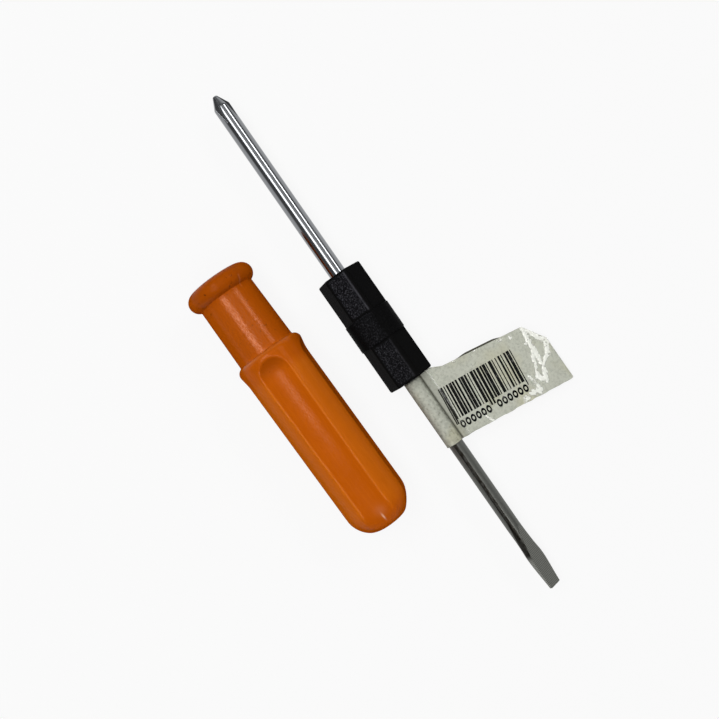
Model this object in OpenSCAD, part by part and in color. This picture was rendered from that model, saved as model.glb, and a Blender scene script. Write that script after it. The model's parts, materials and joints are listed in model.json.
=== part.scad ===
// Two-piece pocket screwdriver: a hollow fluted handle, and a double-ended blade that plugs into it
// either way round. The blade lies beside the handle, and both rest on the same flat surface.
// Frame: origin at the centre of the handle's socket mouth, +X along the handle to its closed end,
// +Y towards the blade, +Z up. Lengths are in millimetres and angles in degrees.

/* [Socket] */
// Depth of the hex socket from the mouth
socket_depth = 10.9; // [8:0.1:13]
// Clearance across the flats between the hex block and its socket
socket_clearance = 0.2; // [0.1:0.05:0.6]
// Depth of the conical lead-in at the socket mouth
socket_lead = 0.6; // [0.3:0.1:1]
// Clearance around the widest part of the blade in its hole
blade_clearance = 0.4; // [0.3:0.05:1]
// Gap between the tip of the longer blade end and the bottom of its hole
tip_gap = 0.5; // [0.2:0.1:3]

/* [Handle] */
// Wall between the corners of the hex socket and the neck, behind the flange
neck_wall = 1.24; // [0.8:0.02:2]
// Growth of the neck's diameter from the flange to the shoulder
neck_flare = 0.7; // [0:0.1:1.5]
// Height of the flange over the neck
flange_h = 2; // [1:0.1:4]
// Radius of the flange's rolled rim
flange_rim_r = 2.9; // [2:0.1:4]
// Distance from the mouth to the shoulder of the grip
shoulder_x = 24.7; // [18:0.1:30]
// Height of the shoulder over the neck
shoulder_h = 1.55; // [1.2:0.05:3]
// Radius of the rounded shoulder
shoulder_r = 2; // [0.6:0.1:2.5]
// Loss of the grip's diameter from the shoulder to the rounded end
grip_taper = 0.54; // [0:0.02:1.5]
// Radius of the rounded end
dome_r = 7.5; // [4:0.1:9]
// Wall between the blade hole and the closed end
end_wall = 1.6; // [1:0.1:6]

/* [Flutes] */
// Number of flutes around the grip
flute_count = 4; // [3:1:6]
// Depth of a flute below the lands
flute_depth = 1.55; // [0.8:0.05:2]
// Radius of the hollow across a flute
flute_hollow_r = 23; // [15:0.5:40]
// Radius of the scooped start of a flute
flute_scoop_r = 7.8; // [4:0.1:10]
// Distance from the shoulder to where a flute reaches its full depth
flute_setback = 6.8; // [6:0.1:12]
// How much more gently a flute runs out over the rounded end than that end is rounded, as a radius
flute_runout = 4.5; // [2:0.1:12]
// How far before the rounded end a flute starts to run out
flute_runout_lead = 1; // [0.5:0.1:4]
// Turn of the first flute from straight up, towards -Y
flute_turn = 5; // [-45:1:45]

/* [Carrier] */
// Size of the hex blocks across their flats
hex_af = 12.2; // [11:0.1:14]
// Length of each hex block
hex_l = 13.8; // [12:0.1:18]
// Diameter of the collar between the hex blocks
collar_d = 14.35; // [14:0.05:18]
// Length of the collar
collar_l = 8.65; // [6:0.05:12]
// Chamfer on the outer ends of the hex blocks
carrier_chamfer = 0.4; // [0.2:0.1:0.6]
// Clearance between the blade and the carrier moulded onto it
mould_gap = 0.05; // [0.02:0.01:0.1]

/* [Blade] */
// Diameter of the cross-point shank
cross_d = 5; // [4:0.1:6]
// Length of the cross-point end beyond the carrier
cross_reach = 61.4; // [40:0.1:70]
// Angle between the cross point's cone and the blade's axis
cross_angle = 26.5; // [20:0.5:35]
// Diameter of the flat nose of the cross point
cross_nose_d = 1.4; // [0.8:0.1:2]
// Radius of the core between the flutes, at the nose
cross_core_r = 0.5; // [0.3:0.05:0.7]
// Length of the flutes of the cross point
cross_flute_l = 8.8; // [6:0.1:12]
// Turn of the cross point's first wing from the carrier's top flat, towards -Y
cross_turn = -26; // [-45:1:45]
// Diameter of the slotted shank where it leaves the carrier
slot_d = 4.5; // [4:0.1:6]
// Loss of the slotted shank's diameter from the carrier to the spade
slot_taper = 0.3; // [0:0.05:0.6]
// Length of the slotted end beyond the carrier
slot_reach = 71; // [50:0.1:90]
// Length of the flattened spade
spade_l = 20.4; // [15:0.1:25]
// Greatest width of the spade
spade_w = 5; // [4.6:0.1:6]
// Distance from the tip to the spade's greatest width
spade_tip_l = 8.5; // [5:0.1:12]
// Shift of the spade to one side of the blade's axis
spade_shift = 0.35; // [0:0.05:0.5]
// Width of the spade at its tip
tip_w = 3.9; // [3:0.1:5]
// Thickness of the spade at its tip
tip_t = 0.8; // [0.5:0.05:1.2]
// Turn of the spade from the carrier's top flat, towards -Y
spade_turn = -44; // [-90:1:90]
// Width across the two pressed wings that lock the blade in the carrier
wing_w = 8; // [6.5:0.1:9]
// Thickness of the pressed wings
wing_t = 1.4; // [1:0.1:2.5]
// Length of the pressed wings
wing_l = 6; // [4:0.1:8]

/* [Label] */
// Thickness of one layer of the label
label_t = 0.15; // [0.1:0.01:0.25]
// Width of the label along the shank
label_w = 21; // [12:0.5:30]
// Gap between the carrier and the label
label_gap = 0.65; // [0.3:0.05:5]
// Gap between the shank and the label wrapped round it
wrap_slack = 0.28; // [0.1:0.01:0.4]
// Height of the flag's root over the blade's axis
flag_rise = 0.9; // [0:0.1:1.5]
// Length of the flag from the shank to its outer edge
flag_l = 36.5; // [20:0.5:50]
// Lean of the flag's edge on the carrier's side, towards the slotted tip
flag_lean = 8.8; // [-15:0.1:15]
// Lean of the flag's other edge, towards the slotted tip
flag_lean_tip = 6.7; // [-15:0.1:15]
// Slope of the flag down towards its outer edge
flag_droop = 7; // [0:0.5:9]
// Length of the clipped outer corner along the shank
clip_w = 6; // [2:0.1:10]
// Length of the clipped outer corner along the flag
clip_l = 4.3; // [2:0.1:10]
// Thickness of the clear tape
tape_t = 0.08; // [0.05:0.01:0.15]
// Distance from the flag's root to the edge of the clear tape
tape_setback = 2.4; // [1:0.1:10]

/* [Layout] */
// Distance from the mouth to the middle of the carrier, along the handle
unit_x = 37.05; // [-60:0.05:60]
// Distance from the handle's axis to the middle of the carrier
unit_y = 28.6; // [22:0.1:60]
// Turn of the blade seen from above, the slotted end towards +Y
unit_yaw = -1.16; // [-8:0.01:8]
// Roll of the carrier about the blade's axis, its top flat towards -Y
unit_roll = 9; // [-30:1:30]

/* [Hidden] */
$fn = 96;
// Cuts run this far past the faces that they open
overrun = 1;
hex_sides = 6;
cross_wings = 4;
handle_colour = "darkorange";
steel_colour = "silver";
carrier_colour = [0.1, 0.1, 0.11];
paper_colour = "gainsboro";
film_colour = [0.9, 0.92, 0.88, 0.4];

// Carrier and blade, along the blade's axis from the middle of the carrier
carrier_l = 2 * hex_l + collar_l;
collar_r = collar_d / 2;
cross_r = cross_d / 2;
slot_r = slot_d / 2;
slot_neck_r = slot_r - slot_taper / 2;
cross_tip_x = -carrier_l / 2 - cross_reach;
cross_end_x = -carrier_l / 2 - mould_gap;
slot_tip_x = carrier_l / 2 + slot_reach;
spade_x = slot_tip_x - spade_l;
spade_wide_x = slot_tip_x - spade_tip_l;
// What grinding takes off each flat of the spade at its tip, and the slope that this gives the flat
spread_h = slot_neck_r - tip_t / 2;
spade_slope = spread_h / spade_l;
cross_cone_l = (cross_r - cross_nose_d / 2) / tan(cross_angle);
cross_root_angle = atan((cross_r - cross_core_r) / cross_flute_l);

// Socket and blade hole, from the sizes of what goes into them
socket_af = hex_af + socket_clearance;
socket_corner_r = socket_af / 2 / cos(180 / hex_sides);
// The lead-in is a cone of 45 degrees, this wide where it opens at the mouth
socket_lead_r = socket_corner_r + socket_lead;
blade_hole_r = max(cross_d, slot_d, spade_w + 2 * spade_shift) / 2 + blade_clearance;
blade_hole_end = socket_depth + max(cross_reach, slot_reach) + tip_gap;

// Handle, along its own axis from the mouth
handle_l = blade_hole_end + end_wall;
neck_front_r = socket_corner_r + neck_wall;
neck_back_r = neck_front_r + neck_flare / 2;
flange_r = neck_front_r + flange_h;
grip_front_r = neck_back_r + shoulder_h;
grip_back_r = grip_front_r - grip_taper / 2;
grip_x = shoulder_x + shoulder_r;
dome_x = handle_l - dome_r;
flute_x = shoulder_x + flute_setback;
flute_axis_r = grip_front_r - flute_depth + flute_hollow_r;
flute_runout_r = dome_r + flute_runout;
flute_runout_x = dome_x - flute_runout_lead;

// The collar and the flange stand on the same surface
unit_z = collar_r - flange_r;

// Label, in the blade's frame before its roll
wrap_in_r = slot_r + wrap_slack;
wrap_mid_r = wrap_in_r + label_t / 2;
wrap_out_r = wrap_in_r + label_t;
label_x = carrier_l / 2 + label_gap;
flag_root_y = sqrt(pow(wrap_mid_r, 2) - pow(flag_rise, 2));

// Where the flag's two edges lie along the shank, at a distance out from its root
function flag_edge(out) = out * tan(flag_lean);
function flag_edge_tip(out) = label_w + out * tan(flag_lean_tip);

// Children drawn along +Z come to lie along +X
module along_x() {
    rotate([0, 90, 0]) children();
}

// Round bar along X from start to end, with a radius at each end
module bar(start, end, start_r, end_r) {
    translate([start, 0, 0]) along_x() cylinder(h = end - start, r1 = start_r, r2 = end_r);
}

// Solid turned about the X axis, from the points of its half section: radius, distance along X
module turned(points) {
    along_x() rotate_extrude() polygon(points);
}

// Hex bar along X from start to end, one flat facing up
module hex_bar(start, end, across_flats) {
    corner_r = across_flats / 2 / cos(180 / hex_sides);
    translate([start, 0, 0])
        along_x() rotate(180 / hex_sides) cylinder(h = end - start, r = corner_r, $fn = hex_sides);
}

// Hex bar along X with its ends chamfered all round: where three chamfered slabs meet
module chamfered_hex(start, end, across_flats, chamfer) {
    half = across_flats / 2;
    intersection_for(side = [0 : hex_sides / 2 - 1])
        rotate([side * 360 / hex_sides, 0, 0])
            translate([0, across_flats, 0]) rotate([90, 0, 0]) linear_extrude(2 * across_flats) polygon([
                [start, chamfer - half], [start + chamfer, -half],
                [end - chamfer, -half], [end, chamfer - half],
                [end, half - chamfer], [end - chamfer, half],
                [start + chamfer, half], [start, half - chamfer]]);
}

// The blade's place beside the handle, level with the surface that it lies on
module beside_handle() {
    translate([unit_x, unit_y, unit_z]) rotate([0, 0, unit_yaw]) children();
}

// The same place, rolled with the carrier
module rolled_beside_handle() {
    beside_handle() rotate([unit_roll, 0, 0]) children();
}

// Half section of the handle: radius across, distance from the mouth upwards
module handle_section() {
    // Rolled flange
    translate([flange_r - flange_rim_r, flange_rim_r]) circle(flange_rim_r);
    square([flange_r - flange_rim_r, 2 * flange_rim_r]);
    // Neck
    polygon([[0, flange_rim_r], [neck_front_r, flange_rim_r], [neck_back_r, grip_x], [0, grip_x]]);
    // Rounded shoulder
    translate([grip_front_r - shoulder_r, grip_x]) circle(shoulder_r);
    translate([0, shoulder_x]) square([grip_front_r - shoulder_r, shoulder_r]);
    // Tapered grip
    polygon([[0, grip_x], [grip_front_r, grip_x], [grip_back_r, dome_x], [0, dome_x]]);
    // Rounded end
    intersection() {
        translate([grip_back_r - dome_r, dome_x]) circle(dome_r);
        square([grip_back_r, handle_l]);
    }
    translate([0, dome_x]) square([grip_back_r - dome_r, dome_r]);
}

// Cutter for one flute, along X at its own axis: a wide bar with a rounded front corner and a flared end
module flute_cutter() {
    along_x() rotate_extrude() {
        translate([flute_hollow_r - flute_scoop_r, flute_x]) circle(flute_scoop_r);
        translate([0, flute_x - flute_scoop_r]) square([flute_hollow_r - flute_scoop_r, flute_scoop_r]);
        translate([0, flute_x]) square([flute_hollow_r, handle_l + overrun - flute_x]);
        // Run-out over the rounded end of the handle
        difference() {
            translate([0, flute_runout_x])
                square([flute_hollow_r + flute_runout_r, handle_l + overrun - flute_runout_x]);
            translate([flute_hollow_r + flute_runout_r, flute_runout_x]) circle(flute_runout_r);
        }
    }
}

module handle() {
    color(handle_colour) difference() {
        along_x() rotate_extrude() handle_section();
        // Flutes
        for (i = [0 : flute_count - 1])
            rotate([flute_turn + i * 360 / flute_count, 0, 0])
                translate([0, 0, flute_axis_r]) flute_cutter();
        // Hex socket, its lead-in and the blade hole behind it
        rotate([flute_turn, 0, 0]) hex_bar(-overrun, socket_depth, socket_af);
        bar(-overrun, socket_lead_r, socket_lead_r + overrun, 0);
        bar(0, blade_hole_end, blade_hole_r, blade_hole_r);
    }
}

// Thicker bar with a four-winged cone at the -X end, butting against the carrier
module cross_end() {
    difference() {
        turned([
            [0, cross_tip_x], [cross_nose_d / 2, cross_tip_x], [cross_r, cross_tip_x + cross_cone_l],
            [cross_r, cross_end_x], [0, cross_end_x]]);
        // Flutes between the wings: square grooves that rise from the core to the bar's surface
        for (i = [0 : cross_wings - 1])
            rotate([cross_turn + (i + 0.5) * 360 / cross_wings, 0, 0])
                translate([cross_tip_x, 0, cross_core_r])
                    rotate([0, -cross_root_angle, 0])
                        translate([-overrun, 0, 0])
                            rotate([45, 0, 0]) cube([cross_flute_l + 2 * overrun, cross_d, cross_d]);
    }
}

// Cutter for one flat of the spade, drawn along X and upwards: what is above the ground plane
module flat_cutter() {
    translate([0, spade_w, 0]) rotate([90, 0, 0]) linear_extrude(2 * spade_w) polygon([
        [spade_x - overrun, slot_neck_r + overrun * spade_slope],
        [slot_tip_x + overrun, tip_t / 2 - overrun * spade_slope],
        [slot_tip_x + overrun, slot_d], [spade_x - overrun, slot_d]]);
}

// Bar that runs through the carrier and tapers to a flattened spade at the +X end
module slot_end() {
    rotate([spade_turn, 0, 0]) difference() {
        union() {
            turned([
                [0, cross_end_x - overrun], [slot_r, cross_end_x - overrun], [slot_r, carrier_l / 2],
                [slot_neck_r, spade_x], [slot_neck_r, spade_wide_x], [0, spade_wide_x]]);
            // Spread of the spade, seen on its flat
            translate([0, 0, -spread_h]) linear_extrude(2 * spread_h) polygon([
                [spade_x, 0],
                [spade_wide_x, spade_shift - spade_w / 2], [slot_tip_x, spade_shift - tip_w / 2],
                [slot_tip_x, spade_shift + tip_w / 2], [spade_wide_x, spade_shift + spade_w / 2]]);
        }
        // Ground flats, one on each side
        for (side = [0, 1]) mirror([0, 0, side]) flat_cutter();
    }
}

// Pressed wings in the middle of the blade, with a gap all round for the hollow that they sit in
module wings(gap) {
    cube([wing_l + 2 * gap, wing_w + 2 * gap, wing_t + 2 * gap], center = true);
}

module blade() {
    color(steel_colour) rolled_beside_handle() {
        cross_end();
        slot_end();
        wings(0);
    }
}

module hex_carrier() {
    color(carrier_colour) rolled_beside_handle() difference() {
        union() {
            // Hex blocks and the collar between them
            chamfered_hex(-carrier_l / 2, carrier_l / 2, hex_af, carrier_chamfer);
            bar(-collar_l / 2, collar_l / 2, collar_r, collar_r);
        }
        // Hollow that the blade fills
        bar(-carrier_l / 2 - overrun, carrier_l / 2 + overrun, slot_r + mould_gap, slot_r + mould_gap);
        wings(mould_gap);
    }
}

// Outline of the flag seen on its face, from a distance out from its root to its outer edge
module flag_outline(from) {
    polygon([
        [flag_edge(from), from],
        [flag_edge_tip(from), from],
        [flag_edge_tip(flag_l), flag_l],
        [flag_edge(flag_l) + clip_w, flag_l],
        [flag_edge(flag_l - clip_l), flag_l - clip_l]]);
}

// The flag's place: its root in the wall of the wrap, sloping down and away from the handle
module at_flag() {
    beside_handle()
        translate([label_x, flag_root_y, flag_rise]) rotate([-flag_droop, 0, 0]) children();
}

module label() {
    color(paper_colour) {
        // Wrap round the shank
        beside_handle() difference() {
            bar(label_x, label_x + label_w, wrap_out_r, wrap_out_r);
            bar(label_x - overrun, label_x + label_w + overrun, wrap_in_r, wrap_in_r);
        }
        // Flag of two layers
        at_flag() translate([0, 0, -label_t]) linear_extrude(2 * label_t) flag_outline(0);
    }
}

module clear_tape() {
    color(film_colour)
        at_flag() translate([0, 0, label_t]) linear_extrude(tape_t) flag_outline(tape_setback);
}

handle();
blade();
hex_carrier();
label();
clear_tape();
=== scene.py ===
"""Visual model of a two-piece pocket screwdriver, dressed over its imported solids.

Shapes are worked out in millimetres in the frame of the half that they belong to, and are
written to their meshes in metres in the shared frame. Angles round an axis are turns from
+Z towards -Y.
"""

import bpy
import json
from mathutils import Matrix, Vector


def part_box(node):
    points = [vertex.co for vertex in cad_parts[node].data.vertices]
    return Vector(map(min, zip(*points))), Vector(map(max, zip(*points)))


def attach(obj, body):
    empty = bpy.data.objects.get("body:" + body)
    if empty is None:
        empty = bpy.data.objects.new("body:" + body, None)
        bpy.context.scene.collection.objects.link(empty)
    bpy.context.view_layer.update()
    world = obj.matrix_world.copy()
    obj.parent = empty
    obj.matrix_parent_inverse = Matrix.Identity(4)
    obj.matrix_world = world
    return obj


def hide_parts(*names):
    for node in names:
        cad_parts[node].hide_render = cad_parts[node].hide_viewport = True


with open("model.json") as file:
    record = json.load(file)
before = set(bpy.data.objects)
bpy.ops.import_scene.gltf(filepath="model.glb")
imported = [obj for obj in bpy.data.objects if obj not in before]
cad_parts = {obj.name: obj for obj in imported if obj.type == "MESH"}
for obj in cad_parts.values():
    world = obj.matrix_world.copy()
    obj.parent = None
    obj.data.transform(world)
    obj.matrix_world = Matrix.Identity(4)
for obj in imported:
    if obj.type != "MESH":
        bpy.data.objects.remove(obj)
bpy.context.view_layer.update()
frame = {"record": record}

import json
import logging
import math
from dataclasses import dataclass, field
from enum import Enum, IntEnum
from typing import Any, Optional

import bpy
import numpy as np
from mathutils import Vector

Array = np.ndarray
Piece = bpy.types.Object
Socket = bpy.types.NodeSocket
Tree = bpy.types.NodeTree
Inputs = dict[Any, Any]
Row = tuple[Any, ...]
Layers = list[tuple[Socket, str]]
Pair = tuple[float, float]
Point = tuple[float, float, float]
Stretch = tuple[float, float, float, float]
LOG = logging.getLogger("pocket_screwdriver")
MM = 0.001
LATTICE = 128
SHARP = math.radians(42.0)
NOWHERE = 99.0
# Spacing of the wave texture's bands at a scale of 1
WAVE_BAND = 0.314
WHITE = (1.0, 1.0, 1.0, 1.0)


class Body(Enum):
    """The bodies that pieces ride on."""
    HANDLE = "handle"
    BLADE_UNIT = "blade_unit"


class Slot(Enum):
    """The record's material slots."""
    ORANGE = "orange_plastic"
    STEEL = "plated_steel"
    BLACK = "black_plastic"
    PAPER = "label_paper"
    FILM = "clear_film"


class Seed(IntEnum):
    """Seeds of the random fields, named for what they shape."""
    FLAG_WAVE = 5
    FLAG_RIPPLE = 6
    TAPE_GRAIN = 8
    TAPE_PATCH = 10
    PANEL = 11
    COLLAR = 12
    WRAP_CLOUD = 13
    CRINKLE = 14
    GLINT_BLISTER = 15
    EDGE_HIGHLIGHT = 16
    WRAP_SPECK = 17
    DARK_REFLECTION = 21
    FAINT_DARK_REFLECTION = 22
    RAGGED_EDGE = 23


def linear(colour: str) -> tuple[float, float, float, float]:
    """Turn an sRGB hex colour into a linear one.

    Args:
        colour: Six hex digits after a hash sign.

    Returns:
        Linear red, green and blue, and an alpha of 1.
    """
    parts = [int(colour[i:i + 2], 16) / 255.0 for i in (1, 3, 5)]
    made = [c / 12.92 if c <= 0.04045 else ((c + 0.055) / 1.055) ** 2.4 for c in parts]
    return made[0], made[1], made[2], 1.0


def feed(tree: Tree, node: bpy.types.Node, inputs: Inputs | Row) -> None:
    """Set a node's inputs.

    Args:
        tree: The tree that the node is in.
        node: The node.
        inputs: A value, or the socket to link from, for each input by name or number, or in their order.
    """
    for key, value in inputs.items() if isinstance(inputs, dict) else enumerate(inputs):
        if isinstance(value, Socket):
            tree.links.new(value, node.inputs[key])
        else:
            node.inputs[key].default_value = value


def add_node(tree: Tree, kind: str, inputs: Inputs | Row = (), out: Any = 0, **settings: Any) -> Socket:
    """Add a node to a tree, set it up and link its inputs.

    Args:
        tree: The material's or the world's node tree.
        kind: The node's type, without its ShaderNode prefix.
        inputs: A value, or the socket to link from, for each input. A Mix takes its share as 0, and its
            two numbers as 2 and 3 or its two colours as 6 and 7. A Map Range takes, in this order,
            its value, the two ends of the span that it is read in and the two that it is given.
        out: Name or number of the output that is wanted.
        settings: Properties of the node itself.

    Returns:
        That output.
    """
    node = tree.nodes.new("ShaderNode" + kind)
    for name, value in settings.items():
        setattr(node, name, value)
    feed(tree, node, inputs)
    return node.outputs[out]


def smooth_min(a: Array, b: Array, width: Any) -> Array:
    """Smaller of two fields, with a parabola in place of the crease where they are within width."""
    share = np.clip(0.5 + 0.5 * (b - a) / width, 0.0, 1.0)
    return b + (a - b) * share - width * share * (1.0 - share)


def smooth_max(a: Array, b: Array, width: float) -> Array:
    """Larger of two fields, with the crease between them rounded."""
    return -smooth_min(-a, -b, width)


def ramp(value: Array, low: float, high: float) -> Array:
    """Rise from 0 at low to 1 at high along the cubic 3t^2 - 2t^3."""
    t = np.clip((value - low) / (high - low), 0.0, 1.0)
    return t * t * (3.0 - 2.0 * t)


def between(value: Array, start: float, full: float, fade: float, end: float) -> Array:
    """Rise from 0 at start to 1 at full, and fall from 1 at fade to 0 at end."""
    return ramp(value, start, full) * ramp(value, end, fade)


def bell(value: Array, middle: float, width: Any) -> Array:
    """Bell curve of height 1: exp(-((value - middle) / width)^2)."""
    return np.exp(-((value - middle) / width) ** 2)


def column(*values: float) -> Array:
    """Values down a column, one for each row of a grid."""
    return np.array(values)[:, None]


def stations(*legs: tuple[float, float, int]) -> Array:
    """Places along an axis, leg after leg.

    Args:
        legs: Start, end and number of places of each leg. The end itself is left out.

    Returns:
        All the places in one row.
    """
    return np.concatenate([np.linspace(a, b, n, endpoint=False) for a, b, n in legs])


def near(turn: Array, first: float, count: int) -> Array:
    """Signed angle from the nearest of count directions spread evenly from the first, in radians."""
    step = 2.0 * math.pi / count
    return (turn - first + step / 2.0) % step - step / 2.0


def vectors(x: Any, y: Any, z: Any) -> Array:
    """Three fields, spread to one grid, as a grid of vectors."""
    return np.stack(np.broadcast_arrays(x, y, z), axis=-1)


def around(x: Array, radius: Array, turn: Array) -> Array:
    """Points at a radius from the X axis: (x, -r sin turn, r cos turn)."""
    return vectors(x, -radius * np.sin(turn), radius * np.cos(turn))


def curve(start: Array, knee: Array, end: Array) -> Array:
    """Six rows of points between two rows, (1-t)^2 start + 2t(1-t) knee + t^2 end."""
    t = np.linspace(0.0, 1.0, 8)[1:-1, None, None]
    return (1 - t) ** 2 * start + 2 * t * (1 - t) * knee + t ** 2 * end


def grain(u: Array, v: Any, cell: float, seed: Seed) -> Array:
    """Smooth random field between -1 and 1.

    A seeded lattice of values, one per cell, is blended between its four nearest knots with
    the weights 3t^2 - 2t^3.

    Args:
        u: First coordinate.
        v: Second coordinate.
        cell: Size of a cell, in the coordinates' unit.
        seed: Seed of the lattice.

    Returns:
        The field at each point.
    """
    lattice = np.random.default_rng(int(seed)).uniform(-1.0, 1.0, (LATTICE, LATTICE))
    u, v = np.broadcast_arrays(u / cell, v / cell)
    i, j = np.floor(u).astype(int), np.floor(v).astype(int)
    s, t = ramp(u - i, 0.0, 1.0), ramp(v - j, 0.0, 1.0)
    low, high = (lattice[i % LATTICE, k % LATTICE] * (1 - s) + lattice[(i + 1) % LATTICE, k % LATTICE] * s
                 for k in (j, j + 1))
    return low * (1 - t) + high * t


@dataclass(frozen=True)
class Finish:
    """A surface finish: its name, its lowest colour, and the nodes that a subclass lays."""
    name: str
    colour: str

    def lay(self, tree: Tree) -> tuple[Layers, Inputs]:
        """Add the nodes that vary over the surface.

        Args:
            tree: The material's node tree.

        Returns:
            The colours over the lowest one, each after the mask that it shows through, and a
            socket or a constant for each other input of the shader.
        """
        raise NotImplementedError

    def dress(self, piece: Piece) -> None:
        """Make the material and give it to a piece.

        Args:
            piece: The object to dress.
        """
        material = bpy.data.materials.new(self.name)
        material.use_nodes = True
        tree = material.node_tree
        layers, inputs = self.lay(tree)
        tint: Any = linear(self.colour)
        for mask, colour in layers:
            tint = add_node(tree, "Mix", {0: mask, 6: tint, 7: linear(colour)}, 2, data_type="RGBA")
        feed(tree, tree.nodes["Principled BSDF"], {"Base Color": tint, **inputs})
        piece.data.materials.append(material)


@dataclass(frozen=True)
class MouldedPolypropylene(Finish):
    """Polypropylene from a lightly polished mould: satin, a little cloudy, paler where it is scuffed and on
    its lands, with painted highlights and painted shade in places.
    """
    name: str = "moulded_polypropylene"
    colour: str = "#B45204"
    cloud: str = "#BE5806"
    rubbed_and_lit: str = "#CE6C14"
    soil_and_shade_tint: str = "#A04805"
    soiled: str = "#5E2C06"
    glint_and_bruise_tint: str = "#F2C4A4"
    highlight: str = "#FFBC9B"
    roughness: Pair = (0.12, 0.27)
    gloss: Pair = (0.225, 1.0)
    ior: float = 1.49
    cloud_mm: float = 7.0
    scuff_mm: float = 0.35
    speck_mm: float = 1.1
    peel_mm: float = 0.42
    peel_deep: float = 0.04

    def lay(self, tree: Tree) -> tuple[Layers, Inputs]:
        """Cloudy colour, paler lands with painted highlights along their edges, a duller neck with soil
        specks, painted shade in the scoops, a painted glint at the dome end, and a fine orange peel.

        Args:
            tree: The material's node tree.

        Returns:
            The layers of colour and the shader's other inputs.
        """
        at = add_node(tree, "TexCoord", out="Object")
        pale_land_and_highlight, soil_and_shade, polish, glint_and_bruise = (add_node(tree, "Attribute", out="Fac", attribute_name=name)
                                       for name in ("pale_land_and_highlight", "soil_and_shade", "polish", "glint_and_bruise"))
        # Scuffs run along the handle: noise drawn out to twenty times its width
        drawn = add_node(tree, "Mapping", {"Vector": at, "Scale": (0.05, 1.0, 1.0)})
        cloud, scuff, speck, peel = (
            add_node(tree, "TexNoise", {"Vector": way, "Scale": 1.0 / (size * MM), "Detail": detail})
            for way, size, detail in ((at, self.cloud_mm, 3.0), (drawn, self.scuff_mm, 2.0),
                                      (at, self.speck_mm, 2.0), (at, self.peel_mm, 2.0)))
        wear_and_edge_glint = add_node(tree, "MapRange", (scuff, 0.5, 0.8))
        # Scuffs, paler lands, and painted highlights along the flutes' edges and the shoulder's edge
        scuff_and_highlight = add_node(tree, "Math", (wear_and_edge_glint, 0.25, pale_land_and_highlight), operation="MULTIPLY_ADD", use_clamp=True)
        rough = add_node(tree, "MapRange", (scuff, 0.3, 0.7, *self.roughness))
        dirt = add_node(tree, "MapRange", (speck, 0.66, 0.74))
        dirt = add_node(tree, "Math", (dirt, soil_and_shade), operation="MULTIPLY")
        bump = add_node(tree, "Bump", {"Height": peel, "Strength": 0.8, "Distance": self.peel_deep * MM})
        # Handling has polished the neck and the lands, and the hollows and the underside have stayed matt
        glitter = add_node(tree, "MapRange", (peel, 0.42, 0.62, *self.gloss))
        gloss = add_node(tree, "Math", (polish, glitter), operation="MULTIPLY")
        # Painted highlight where the upper flute runs out over the dome; in the nick, polypropylene whitens
        # where a knock has strained it
        layers = [(cloud, self.cloud), (scuff_and_highlight, self.rubbed_and_lit), (soil_and_shade, self.soil_and_shade_tint), (dirt, self.soiled),
                  (glint_and_bruise, self.glint_and_bruise_tint)]
        # The pigment lies close under the skin and warms its highlights
        return layers, {"Roughness": rough, "Normal": bump, "Specular IOR Level": gloss,
                        "Specular Tint": linear(self.highlight), "IOR": self.ior}


@dataclass(frozen=True)
class ChromePlate(Finish):
    """Thin chrome over drawn steel: bright at the cross end, dull at the slotted end, with a painted dark
    reflection along it.

    The spade's flats are ground across, which leaves them grey and hatched.
    """
    name: str = "chrome_plated_steel"
    colour: str = "#8A8C8F"
    dull: str = "#6C6D69"
    dark_reflection: str = "#1E1B17"
    ground: str = "#8E8F8A"
    scored: str = "#686963"
    roughness: Pair = (0.11, 0.19)
    dull_roughness: float = 0.52
    ground_roughness: float = 0.44
    smear_mm: float = 3.0
    fleck_mm: float = 0.6
    grind_mm: float = 0.5
    grind_deep: float = 0.04

    def lay(self, tree: Tree) -> tuple[Layers, Inputs]:
        """Smears in the mirror finish, a flecked painted dark reflection, and grinding lines, drawn coarse
        enough to show.

        Args:
            tree: The material's node tree.

        Returns:
            The layers of colour and the shader's other inputs.
        """
        at = add_node(tree, "TexCoord", out="Object")
        ground, dull, dark_reflection = (add_node(tree, "Attribute", out="Fac", attribute_name=name)
                                 for name in ("ground", "dull", "dark_reflection"))
        drawn = add_node(tree, "Mapping", {"Vector": at, "Scale": (0.3, 1.0, 1.0)})
        smear, fleck = (
            add_node(tree, "TexNoise", {"Vector": drawn, "Scale": 1.0 / (size * MM), "Detail": detail})
            for size, detail in ((self.smear_mm, 3.0), (self.fleck_mm, 2.0)))
        rough = add_node(tree, "MapRange", (smear, 0.35, 0.75, *self.roughness))
        rough = add_node(tree, "Mix", {0: dull, 2: rough, 3: self.dull_roughness})
        rough = add_node(tree, "Mix", {0: ground, 2: rough, 3: self.ground_roughness})
        fleck = add_node(tree, "MapRange", (fleck, 0.62, 0.38, 0.8, 1.0))
        # Painted dark reflection, broken up by flecks
        blotch = add_node(tree, "Math", (dark_reflection, fleck), operation="MULTIPLY")
        # Grinding lines lie across the spade: bands along the blade, broken up by noise
        line = add_node(tree, "TexWave", {"Vector": at, "Scale": WAVE_BAND / (self.grind_mm * MM),
                                          "Distortion": 1.2, "Detail": 2.0, "Detail Scale": 1.5},
                        "Fac", bands_direction="X")
        score = add_node(tree, "Math", (line, ground), operation="MULTIPLY")
        bump = add_node(tree, "Bump", {"Height": score, "Strength": 0.5, "Distance": self.grind_deep * MM})
        layers = [(dull, self.dull), (blotch, self.dark_reflection), (ground, self.ground), (score, self.scored)]
        return layers, {"Roughness": rough, "Normal": bump, "Metallic": 1.0}


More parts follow.
